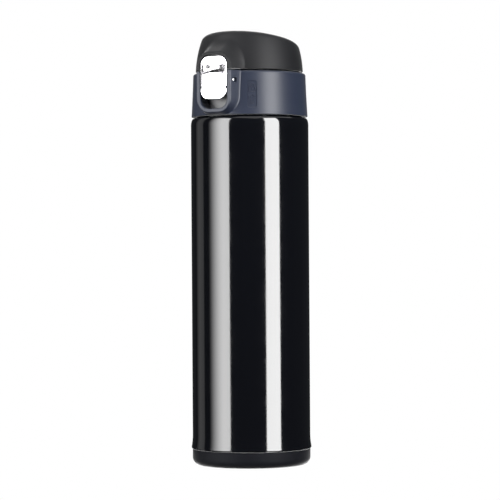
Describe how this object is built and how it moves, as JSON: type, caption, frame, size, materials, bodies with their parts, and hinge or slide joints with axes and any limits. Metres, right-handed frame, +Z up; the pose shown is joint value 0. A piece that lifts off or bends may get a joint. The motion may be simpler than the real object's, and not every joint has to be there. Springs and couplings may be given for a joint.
{
  "type": "vacuum flask",
  "caption": "Slim steel vacuum flask with a flip lid, a chrome push button under a swinging lock ring, and a screw-in drinking stopper.",
  "frame": {"origin": "centre of the foot, on the surface that the flask stands on", "axes": "+Z up along the bottle axis, -Y towards the latch, +Y towards the lid hinge, +X to the right of the latch seen from the front"},
  "size_m": [0.0672, 0.0712, 0.2423],
  "materials": {
    "body_paint": "glossy black baked paint",
    "steel": "plain stainless sheet",
    "seal_glass": "fused seal bead",
    "getter_grey": "pressed pellet",
    "copper": "bright copper foil",
    "steel_inner": "electropolished stainless",
    "base_plastic": "satin charcoal",
    "collar_plastic": "slate-blue, slight sheen",
    "black_plastic": "black",
    "pin_steel": "ground steel",
    "button_chrome": "bright chrome plating",
    "ring_chrome": "bright chrome plating",
    "spring_steel": "spring wire",
    "stopper_plastic": "charcoal polypropylene",
    "silicone": "translucent grey silicone",
    "mouthpiece_plastic": "dark polypropylene",
    "lid_plastic": "matte charcoal, fine grain"
  },
  "bodies": {
    "flask": {"outer_shell": "body_paint", "outer_bottom": "steel", "seal_bead": "seal_glass", "getter": "getter_grey", "copper_foil": "copper", "inner_liner": "steel_inner", "liner_bottom": "steel_inner", "base_cover": "base_plastic"},
    "gasket": {"stopper_gasket": "silicone"},
    "stopper": {"stopper_body": "stopper_plastic", "thread_insert": "stopper_plastic", "collar_shell": "collar_plastic", "latch_housing": "black_plastic", "latch_pin": "pin_steel", "button_spring": "spring_steel", "mouthpiece": "mouthpiece_plastic", "mouthpiece_gasket": "silicone", "hinge_pin": "pin_steel", "lid_spring": "spring_steel"},
    "button": {"release_button": "button_chrome"},
    "ring": {"lock_ring": "ring_chrome"},
    "lid": {"lid_shell": "lid_plastic", "lid_liner": "stopper_plastic", "lid_gasket": "silicone"}
  },
  "joints": [
    {"name": "stopper_lift", "type": "slide", "parent": "flask", "child": "gasket", "axis": [0, 0, 1], "range_m": [0, 0.018]},
    {"name": "stopper_turn", "type": "hinge", "parent": "gasket", "child": "stopper", "pos_m": [0, 0, 0.2035], "axis": [0, 0, 1], "range_deg": [0, 1620]},
    {"name": "lid_hinge", "type": "hinge", "parent": "stopper", "child": "lid", "pos_m": [0, 0.0331, 0.2193], "axis": [-1, 0, 0], "range_deg": [0, 175]},
    {"name": "button_rock", "type": "hinge", "parent": "stopper", "child": "button", "pos_m": [0, -0.0325, 0.2137], "axis": [1, 0, 0], "range_deg": [0, 5], "stiffness_Nm_per_rad": 0.08, "springref_deg": -5.73, "deforming": ["button_spring"]},
    {"name": "ring_swing", "type": "hinge", "parent": "stopper", "child": "ring", "pos_m": [0, -0.0325, 0.2137], "axis": [1, 0, 0], "range_deg": [0, 100]}
  ],
  "couplings": [
    {"joint": "stopper_lift", "follows": "stopper_turn", "m_per_rad": 0.00063662}
  ]
}
